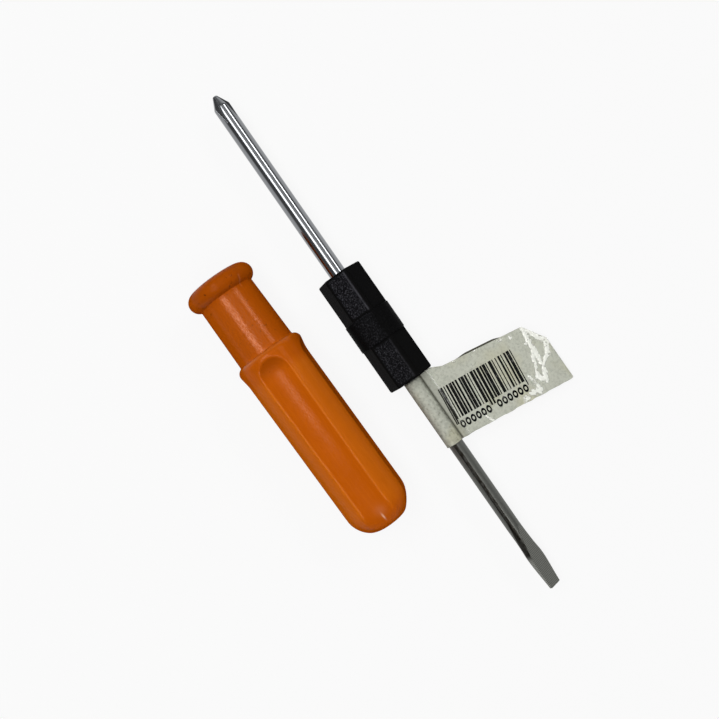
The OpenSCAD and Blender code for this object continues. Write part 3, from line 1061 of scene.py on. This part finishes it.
@dataclass
class HexCarrier(Turned):
    """Black moulding round the blade: a hex block on each side of a collar, drawn as one ring."""
    finish: Finish = field(default_factory=SparkErodedNylon)
    columns: int = 340
    half_l: float = 18.125
    flat_r: float = 6.1
    collar_r: float = 7.175
    collar_half: float = 4.325
    collar_edge_r: float = 0.3
    collar_rough: float = 0.35
    collar_top_light: Pair = (0.06, 0.36)
    collar_turn: float = 0.12
    bore_r: float = 2.3
    edge_r: float = 0.5
    turn: float = math.radians(9.0)
    panel_border: float = 0.65
    panel_side: float = 0.85
    panel_shift: float = 0.4
    panel_corner: float = 0.6
    panel_depth: float = 0.05
    far_panel: float = 0.8
    edge_highlight_at: float = 2.2
    edge_highlight_w: float = 0.24
    grain_mm: float = 0.55
    grain_depth: float = 0.07

    def hexagon(self) -> Array:
        """Radius of the hexagon, half / cos a, with each corner rounded into the next side."""
        angle = np.abs(near(self.turns, self.turn, 6))
        return smooth_min(self.flat_r / np.cos(angle), self.flat_r / np.cos(math.pi / 3 - angle), 0.3)

    def panel(self, x: Array) -> Array:
        """How far a point lies on a sunken panel of its flat, 0 to 1.

        Args:
            x: Distance from the carrier's middle, as a column.

        Returns:
            A share inside a rounded rectangle on each side of each hex block, and 0 on its frame. It is most
            on the upper flat and some on the flats by the handle, as painted light on those faces.
        """
        angle = near(self.turns, self.turn, 6)
        across = self.flat_r * np.tan(angle) - self.panel_shift
        middle = (self.half_l + self.collar_half) / 2.0
        long = (self.half_l - self.collar_half) / 2.0 - self.panel_border - self.panel_corner
        wide = self.flat_r * math.tan(math.pi / 6) - self.panel_side - self.panel_corner
        out = np.hypot(np.maximum(np.abs(np.abs(x) - middle) - long, 0.0),
                       np.maximum(np.abs(across) - wide, 0.0)) - self.panel_corner
        lean = self.turns - angle - self.turn
        # Painted light: the upper flat, and a little the flats by the handle, get more of the greyer,
        # glinting panel
        rubbed_and_lit = 0.05 + 0.95 * ramp(np.cos(lean), 0.6, 0.9) + 0.15 * ramp(np.sin(lean), 0.5, 0.8)
        return ramp(-out, -0.05, 0.2) * rubbed_and_lit

    def edge_highlight(self, x: Array) -> Array:
        """Painted highlight line along the upper flat's edge away from the handle, a bell curve across it.

        Args:
            x: Distance from the carrier's middle.

        Returns:
            A share from 0 to about 1, less by the label, and none on the collar.
        """
        across = self.flat_r * np.tan(near(self.turns, self.turn, 6))
        upper = np.abs(near(self.turns, self.turn, 1)) < math.pi / 6
        line = bell(across, -self.edge_highlight_at, self.edge_highlight_w) * upper
        line = line * (0.3 + 0.7 * ramp(x, 2.0, -2.0))
        line = line * (1.0 + 0.5 * grain(x, self.turns, 0.8, Seed.EDGE_HIGHLIGHT))
        return line * ramp(np.abs(x), self.collar_half + 0.3, self.collar_half + 0.8)

    def block(self) -> Array:
        """Hex block from the outer end in to the collar, on the negative side.

        The end face rises from the bore, and its rim is a quarter circle.

        Returns:
            Distance from the middle, radius and panel mark, rows by columns.
        """
        side = self.hexagon()
        face = self.bore_r + (side - self.edge_r - self.bore_r) * column(0.0, 0.35, 0.7, 0.97)
        bend = np.linspace(0.0, math.pi / 2, 8)[:, None]
        rim_x = -self.half_l + self.edge_r * (1.0 - np.cos(bend))
        rim = side - self.edge_r * (1.0 - np.sin(bend))
        wall_x = np.linspace(-self.half_l + self.edge_r + 0.1, -self.collar_half, 92)[:, None]
        panel = self.panel(wall_x)
        rough = grain(wall_x, self.flat_r * self.turns, self.grain_mm, Seed.PANEL)
        wall = side - panel * (self.panel_depth + self.grain_depth * rough)
        return np.concatenate([self.stretch(-self.half_l, face, 0.0), self.stretch(rim_x, rim, 0.0),
                               self.stretch(wall_x, wall, panel)], axis=1)

    def collar(self) -> Array:
        """Round collar: out from the hexagon, a rounded edge, along its length and back.

        Returns:
            Distance from the middle, radius and panel mark, rows by columns.
        """
        bend = np.linspace(0.0, math.pi / 2, 6)
        edge_x = -self.collar_half + self.collar_edge_r * (1.0 - np.cos(bend))
        edge = self.collar_r - self.collar_edge_r * (1.0 - np.sin(bend))
        along = np.linspace(edge_x[-1] + 0.3, -edge_x[-1] - 0.3, 34)
        x = np.concatenate([edge_x, along, -edge_x[::-1]])[:, None]
        radius = np.concatenate([edge, np.full_like(along, self.collar_r), edge[::-1]])[:, None]
        rough = 1.0 + grain(x, self.collar_r * self.turns, self.grain_mm, Seed.COLLAR)
        rough = self.collar_rough * self.grain_depth * rough
        radius = radius - rough * ramp(np.abs(x), self.collar_half, self.collar_half - 1.0)
        # The panel mark, and with it the painted light and glints, is strongest along the collar's top
        least, more = self.collar_top_light
        top = least + more * ramp(np.cos(self.turns - self.turn - self.collar_turn), 0.86, 0.96)
        return self.stretch(x, radius, top)

    def build(self) -> Piece:
        """Make the carrier and dress it.

        Returns:
            The carrier's object.
        """
        block = self.block()
        # The far block is the near block seen from its other end, with a little less painted light on its
        # panels
        far = block[:, ::-1] * np.array([-1.0, 1.0, self.far_panel])[:, None, None]
        bore = self.stretch(np.linspace(self.half_l, -self.half_l, 6)[1:-1, None], self.bore_r, 0.0)
        x, radius, panel = np.concatenate([block, self.collar(), far, bore], axis=1)
        # Painted highlight line along the upper flat's far edge, kept off the blocks' ends
        wear_and_edge_glint = self.edge_highlight(x) * (radius > self.flat_r) * (np.abs(x) < self.half_l - self.edge_r)
        skin = Skin(around(x, radius, self.turns), {"panel": panel, "wear_and_edge_glint": wear_and_edge_glint}, ring_rows=True)
        return skin.build("hex_blade_carrier", Place.of_blade(), self.finish)


@dataclass
class FlagLabel:
    """Paper label folded round the shank and stuck to itself, with clear tape over its printed face.

    A crinkle of the tape is its share of the usual breadth and its bends, each as out from the
    root and along the shank. A blister, painted white as a glint, is out, along, half breadth and height.
    """
    paper: Finish = field(default_factory=CoatedPaper)
    film: Finish = field(default_factory=AdhesiveFilm)
    root_x: float = 18.425
    width: float = 21.5
    wrap_r: float = 2.605
    wrap_from: float = math.radians(8.0)
    wrap_to: float = math.radians(348.0)
    rise: float = 0.9
    droop: float = math.radians(7.0)
    length: float = 36.5
    lean: float = math.tan(math.radians(8.8))
    lean_tip: float = math.tan(math.radians(6.7))
    clip: Pair = (6.0, 4.3)
    snug: Pair = (3.7, 7.0)
    touch: float = 0.22
    set_back: float = 0.35
    ragged: float = 0.16
    blunt: float = 0.3
    knee: Pair = (0.05, -0.12)
    first_out: float = 0.25
    paper_t: float = 0.15
    film_t: float = 0.08
    film_gap: float = 0.02
    tape_from: float = 2.4
    peep: float = 0.5
    peep_out: Stretch = (11.0, 15.0, 23.0, 26.0)
    root_shade_out: Pair = (2.6, 2.2)
    fold_shade_to: float = math.radians(32.0)
    far_side_dark: Pair = (math.radians(110.0), math.radians(165.0))
    end_shadow: Pair = (0.6, 0.15)
    edge_glint_along: Pair = (7.5, 5.0)
    print_turn: float = math.radians(6.0)
    columns: int = 90
    film_columns: int = 150
    close_rows_out: float = 27.0
    crinkle_h: float = 0.4
    crinkles: tuple[tuple[Any, ...], ...] = (
        (1.0, (32.4, 6.0), (31.9, 8.2), (31.6, 10.8), (30.6, 13.4), (29.4, 15.7), (28.5, 18.3),
         (28.1, 20.0), (29.6, 22.2)),
        (1.0, (33.1, 7.0), (34.4, 10.4), (36.2, 12.4), (34.4, 15.6), (31.2, 17.8), (30.2, 20.3),
         (29.6, 22.0)),
        (1.0, (31.4, 12.3), (31.2, 14.9), (31.1, 17.3)),
        (0.55, (9.2, 20.3), (9.5, 21.1), (10.1, 22.4)),
        (0.75, (25.8, 18.0), (26.0, 19.4), (26.3, 20.8), (26.6, 23.2)),
    )
    glint_blisters: tuple[tuple[float, float, float, float], ...] = (
        (25.1, 5.0, 0.55, 1.0), (17.1, 3.1, 0.5, 1.0), (10.4, 2.3, 0.5, 1.0), (27.8, 6.2, 0.5, 1.0),
        (30.6, 10.2, 0.4, 1.0), (34.9, 8.8, 0.5, 1.0), (22.0, 22.9, 1.5, 0.85), (24.2, 22.8, 1.5, 0.85),
        (25.7, 23.2, 1.1, 0.9),
    )

    @property
    def root_y(self) -> float:
        """How far beside the blade's axis the flag leaves the wrap."""
        return math.sqrt(self.wrap_r ** 2 - self.rise ** 2)

    @property
    def cut(self) -> float:
        """Distance from the root at which the cut-off corner begins."""
        return self.length - self.clip[1]

    def edges(self, out: Array) -> tuple[Array, Array]:
        """The flag's two edges along the shank, at a distance out from its root.

        Both lean towards the slotted tip, one corner is cut off, and beside it the paper touches the
        carrier for a way before it leans. The edge by the tip is a little ragged, with a blunt corner.

        Args:
            out: Distance from the root.

        Returns:
            The edge by the carrier and the edge by the slotted tip, from the label's start.
        """
        out = np.maximum(out, 0.0)
        wide, deep = self.clip
        end = self.snug[1]
        leaning = out * self.lean + np.maximum(out - self.cut, 0.0) / deep * wide + self.set_back
        snug = np.interp(out, self.snug, (-self.touch, end * self.lean + self.set_back))
        ragged = self.ragged * grain(out, 0.0, 1.5, Seed.RAGGED_EDGE) * ramp(out, 0.5, 2.0)
        blunt = self.blunt * ramp(out, self.length - 0.6, self.length)
        return np.where(out < end, snug, leaning), self.width + out * self.lean_tip + ragged - blunt

    def across(self, out: Array, share: Array, peep: Any = 0.0) -> Array:
        """Places across the flag, at shares of the way from one edge to the other.

        Args:
            out: Distance from the root, as a column.
            share: 0 at the edge by the carrier and 1 at the edge by the slotted tip.
            peep: How far the sheet stands out past the first edge.

        Returns:
            Distance along the shank from the label's start, rows by columns.
        """
        low, high = self.edges(out)
        return low - peep + (high - low + peep) * share

    def face(self, out: Array, along: Array, lift: Any) -> Array:
        """Point on the flag: out from the root, along the shank, and lifted off its middle plane.

        The plane droops evenly, and slow waves that grow from the root lift it a little.

        Args:
            out: Distance from the root.
            along: Distance along the shank from the label's start.
            lift: Height over the middle plane.

        Returns:
            The points, in the blade's frame.
        """
        wave = 0.35 * grain(out, along, 11.0, Seed.FLAG_WAVE)
        ripple = 0.12 * grain(out, along, 4.0, Seed.FLAG_RIPPLE)
        lift = lift + (wave + ripple) * ramp(out, 0.5, 9.0)
        y = self.root_y + out * math.cos(self.droop) + lift * math.sin(self.droop)
        z = self.rise - out * math.sin(self.droop) + lift * math.cos(self.droop)
        return vectors(self.root_x + along, y, z)

    def printed(self, out: Array, along: Array) -> Array:
        """Print coordinates of points on the printed face, turned a little against the shank.

        Args:
            out: Distance from the root.
            along: Distance along the shank from the label's start.

        Returns:
            Distance along the bars, distance down them, and 1 for the printed face, in one vector.
        """
        sine, cosine = math.sin(self.print_turn), math.cos(self.print_turn)
        return vectors(out * cosine + along * sine, along * cosine - out * sine, 1.0)

    def wrap_grime_and_shade(self, angle: Array, flat: Array, root: float) -> Array:
        """Grime and painted shade on the wrap, most of all down its two sides.

        Args:
            angle: Angle round the shank, as a column.
            flat: Distance along the shank from the label's start.
            root: Angle at which the flag leaves the wrap.

        Returns:
            A share from 0 to about 1, rows by columns.
        """
        # Painted shade beside the fold, painted shadow where the wrap meets the carrier, and a darker band
        # down the far side
        shade_and_grime = 0.45 * ramp(angle - root, self.fold_shade_to, self.wrap_from)
        shade_and_grime = shade_and_grime + 0.5 * ramp(flat, *self.end_shadow) + 0.35 * ramp(angle, *self.far_side_dark)
        # Cloudy grime and dark specks all over
        shade_and_grime = shade_and_grime + 0.12 + 0.16 * grain(self.wrap_r * angle, flat, 0.7, Seed.WRAP_CLOUD)
        return shade_and_grime + 0.3 * ramp(grain(self.wrap_r * angle, flat, 0.38, Seed.WRAP_SPECK), 0.4, 0.8)

    def build_paper(self) -> Piece:
        """Make the folded sheet: the upper layer in to the shank, round it, and out again below.

        The wrap is an arc, and a short curve with one bend joins it to each layer at the root.

        Returns:
            The label's object.
        """
        share = np.linspace(0.0, 1.0, self.columns)[None]
        out = stations((self.length, self.cut, 12), (self.cut, 1.0, 62), (1.0, self.first_out, 5))
        out = np.append(out, self.first_out)[:, None]
        along = self.across(out, share)
        upper = self.face(out, along, self.paper_t / 2.0)
        # The lower layer peeps out a little along part of the carrier's side
        peep = self.peep * between(out, *self.peep_out)
        lower = self.face(out, self.across(out, share, peep), -self.paper_t / 2.0)[::-1]
        root = math.atan2(self.rise, self.root_y)
        angle = np.linspace(root + self.wrap_from, root + self.wrap_to, 64)[:, None]
        flat = share * self.width
        arc = vectors(self.root_x + flat, self.wrap_r * np.cos(angle), self.wrap_r * np.sin(angle))
        over_knee, under_knee = (self.face(np.zeros((1, 1)), flat, height) for height in self.knee)
        over = curve(upper[-1:], over_knee, arc[:1])
        under = curve(arc[-1:], under_knee, lower[:1])
        mark = self.printed(out, along)
        bare = np.zeros((len(over) + len(arc) + len(under) + len(lower), self.columns, 3))
        # Painted shade in the crease at the root, on the strip out to the tape's edge and through the fold;
        # the lower layer's peeping edge is darkened
        crease = 0.6 * bell(out, self.first_out, 0.2) + 0.26 * ramp(out, *self.root_shade_out)
        fold = np.full(over.shape[:2], 0.9)
        dark_edge = (peep > 0.05) * ramp(share, 0.05, 0.02)
        crease = np.broadcast_to(crease, along.shape)
        grime_and_shade = np.concatenate([crease, fold, self.wrap_grime_and_shade(angle, flat, root), np.zeros(under.shape[:2]),
                                dark_edge[::-1]])
        skin = Skin(np.concatenate([upper, over, arc, under, lower]),
                    {"print": np.concatenate([mark, bare]), "grime_and_shade": np.clip(grime_and_shade, 0.0, 1.0)},
                    ring_columns=False)
        return skin.build("folded_flag_label", Place.of_blade(), self.paper, self.paper_t)

    def crinkle(self, out: Array, along: Array) -> Array:
        """Height of the tape's crinkles: ridges with a bell-shaped section along bent lines, and spots.

        Args:
            out: Distance from the root.
            along: Distance along the shank from the label's start.

        Returns:
            Height from 0 to 1.
        """
        height = np.zeros_like(along)
        broad = 0.85 + 0.4 * grain(out, along, 1.5, Seed.CRINKLE)
        rough = grain(out, along, 0.9, Seed.GLINT_BLISTER)
        for width, *bends in self.crinkles:
            for (o1, a1), (o2, a2) in zip(bends, bends[1:]):
                step_o, step_a = o2 - o1, a2 - a1
                share = ((out - o1) * step_o + (along - a1) * step_a) / (step_o ** 2 + step_a ** 2)
                share = np.clip(share, 0.0, 1.0)
                away = np.hypot(out - o1 - share * step_o, along - a1 - share * step_a)
                height = np.maximum(height, bell(away, 0.0, width * broad))
        for spot_o, spot_a, size, most in self.glint_blisters:
            away = np.hypot(out - spot_o, along - spot_a) * (1.0 + 0.6 * rough)
            height = np.maximum(height, most * bell(away, 0.0, size))
        return height

    def build_film(self) -> Piece:
        """Make the tape: a film just over the upper layer, raised along its crinkles, and painted white as a
        highlight there and along its inner edge.

        Returns:
            The tape's object.
        """
        legs = (self.tape_from, self.close_rows_out, self.cut, self.length)
        out = stations(*zip(legs, legs[1:], (90, 34, 30)))
        out = np.append(out, self.length)[:, None]
        along = self.across(out, np.linspace(0.0, 1.0, self.film_columns)[None])
        crinkle = self.crinkle(out, along)
        # Painted highlight along the tape's inner edge, stronger further along the shank
        edge = bell(out, self.tape_from, 0.25) * (0.25 + 0.75 * ramp(along, *self.edge_glint_along))
        fine = 0.6 * grain(out, along, 0.45, Seed.TAPE_GRAIN)
        ragged = 0.55 + (fine + 0.4 * grain(out, along, 1.8, Seed.TAPE_PATCH))
        # Painted highlight: opaque white along the crinkles, the blisters and the inner edge
        lift = np.clip(ramp(crinkle * (0.55 + 0.8 * ragged), 0.3, 0.8) + 0.8 * edge * ragged, 0.0, 1.0)
        height = self.paper_t + self.film_gap + self.film_t / 2.0 + self.crinkle_h * crinkle
        skin = Skin(self.face(out, along, height), {"lift": lift}, ring_columns=False)
        return skin.build("clear_flag_tape", Place.of_blade(), self.film, self.film_t)


@dataclass(frozen=True)
class LightPanel:
    """Rectangular panel of light, in metres. It faces straight down if it is level, or else the object."""
    name: str
    at: Point
    size: Pair
    radiance: float
    level: bool = True

    def hang(self, aim: Point) -> None:
        """Make the lamp, whose power is its face's radiance times pi times its area.

        Args:
            aim: Point that it faces if it is not level.
        """
        light = bpy.data.lights.new(self.name, "AREA")
        light.shape = "RECTANGLE"
        light.size, light.size_y = self.size
        light.energy = self.radiance * math.pi * self.size[0] * self.size[1]
        lamp = bpy.data.objects.new(self.name, light)
        lamp.location = self.at
        if not self.level:
            lamp.rotation_euler = (Vector(aim) - Vector(self.at)).to_track_quat("-Z", "Y").to_euler()
        lamp.visible_camera = False
        bpy.context.collection.objects.link(lamp)


@dataclass
class Studio:
    """Pale table, three soft panels of light, a dim room and the camera straight above."""
    floor_z: float = -10.45
    floor_rings: tuple[float, ...] = (50.0, 100.0, 200.0, 500.0, 1000.0, 2000.0, 4000.0)
    floor_colour: str = "#CCCCCC"
    floor_glow: float = 0.9
    ceiling: float = 0.14
    horizon: Pair = (0.02, 0.45)
    camera_at: Point = (0.0419, 0.01969, 0.279775)
    camera_turn: float = math.radians(54.0)
    lens_mm: float = 49.98
    sensor_mm: float = 36.0
    aim: Point = (0.045, 0.015, 0.0)
    panels: tuple[LightPanel, ...] = (
        LightPanel("key_panel", (-0.10, -0.20, 0.90), (1.30, 0.32), 4.85),
        LightPanel("broad_panel", (-0.10, 0.045, 0.92), (1.36, 0.91), 0.52),
        LightPanel("side_panel", (-0.20, 0.82, 0.80), (0.44, 0.22), 8.0, level=False),
    )

    def build(self) -> None:
        """Make the floor, the lamps, the room and the camera."""
        self.floor()
        for panel in self.panels:
            panel.hang(self.aim)
        self.room()
        self.camera()
        bpy.context.scene.view_settings.view_transform = "Standard"

    @staticmethod
    def seen(tree: Tree) -> Socket:
        """Tell the rays that show a surface from those that light others.

        Args:
            tree: The material's or the world's node tree.

        Returns:
            1 for the camera, in reflections and through clear pieces, and 0 otherwise.
        """
        path = add_node(tree, "LightPath").node.outputs
        shown = path["Is Camera Ray"]
        for ray in ("Is Glossy Ray", "Is Transmission Ray"):
            shown = add_node(tree, "Math", (shown, path[ray]), operation="MAXIMUM")
        return shown

    def floor(self) -> None:
        """Make a wide flat disc that is seen nearly white and keeps the object's shadow."""
        turn = np.linspace(0.0, 2.0 * math.pi, 96, endpoint=False)
        rings = column(*self.floor_rings)
        points = vectors(rings * np.cos(turn), rings * np.sin(turn), self.floor_z)
        disc = Skin(points, start_pole=np.array([0.0, 0.0, self.floor_z]))
        table = disc.build("pale_table", Place.of_handle())
        material = bpy.data.materials.new("pale_table")
        material.use_nodes = True
        tree = material.node_tree
        tree.nodes.remove(tree.nodes["Principled BSDF"])
        matt = add_node(tree, "BsdfDiffuse", {"Color": linear(self.floor_colour)})
        glow = add_node(tree, "Emission", {"Color": WHITE, "Strength": 1.0})
        share = add_node(tree, "Math", (self.seen(tree), self.floor_glow), operation="MULTIPLY")
        mixed = add_node(tree, "MixShader", (share, matt, glow))
        feed(tree, tree.nodes["Material Output"], {"Surface": mixed})
        table.data.materials.append(material)

    def room(self) -> None:
        """Make a dim room, seen white at the horizon in the same way, that falls off to its ceiling."""
        world = bpy.data.worlds.new("dim_room")
        world.use_nodes = True
        tree = world.node_tree
        way = add_node(tree, "TexCoord", out="Generated")
        height = add_node(tree, "SeparateXYZ", (way,), "Z")
        level = add_node(tree, "MapRange", (height, *self.horizon, 1.0, self.ceiling),
                         interpolation_type="SMOOTHSTEP")
        shown = add_node(tree, "Mix", {0: self.seen(tree), 2: self.ceiling, 3: level})
        feed(tree, tree.nodes["Background"], {"Color": WHITE, "Strength": shown})
        bpy.context.scene.world = world

    def camera(self) -> None:
        """Hang the camera straight above, turned so that the screwdriver lies aslant."""
        lens = bpy.data.cameras.new("overhead_camera")
        lens.lens = self.lens_mm
        lens.sensor_width = self.sensor_mm
        lens.clip_start = 0.01
        camera = bpy.data.objects.new("overhead_camera", lens)
        camera.location = self.camera_at
        camera.rotation_euler = (0.0, 0.0, self.camera_turn)
        bpy.context.collection.objects.link(camera)
        bpy.context.scene.camera = camera


def seat(piece: Piece, body: Body, node: str) -> None:
    """Tie a piece to its body, hide the solid that it stands for, and log it.

    Args:
        piece: The object.
        body: Body that it rides on.
        node: Solid that it stands for.
    """
    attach(piece, body.value)
    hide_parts(node)
    LOG.info("%s: %d faces for %s on %s", piece.name, len(piece.data.polygons), node, body.value)


def main() -> None:
    """Build both halves and the studio."""
    logging.basicConfig(level=logging.INFO, format="%(name)s %(message)s")
    Studio().build()
    seat(Handle().build(), Body.HANDLE, "handle")
    seat(Blade().build(), Body.BLADE_UNIT, "blade")
    seat(HexCarrier().build(), Body.BLADE_UNIT, "hex_carrier")
    flag = FlagLabel()
    seat(flag.build_paper(), Body.BLADE_UNIT, "label")
    seat(flag.build_film(), Body.BLADE_UNIT, "clear_tape")


if __name__ == "__main__":
    main()
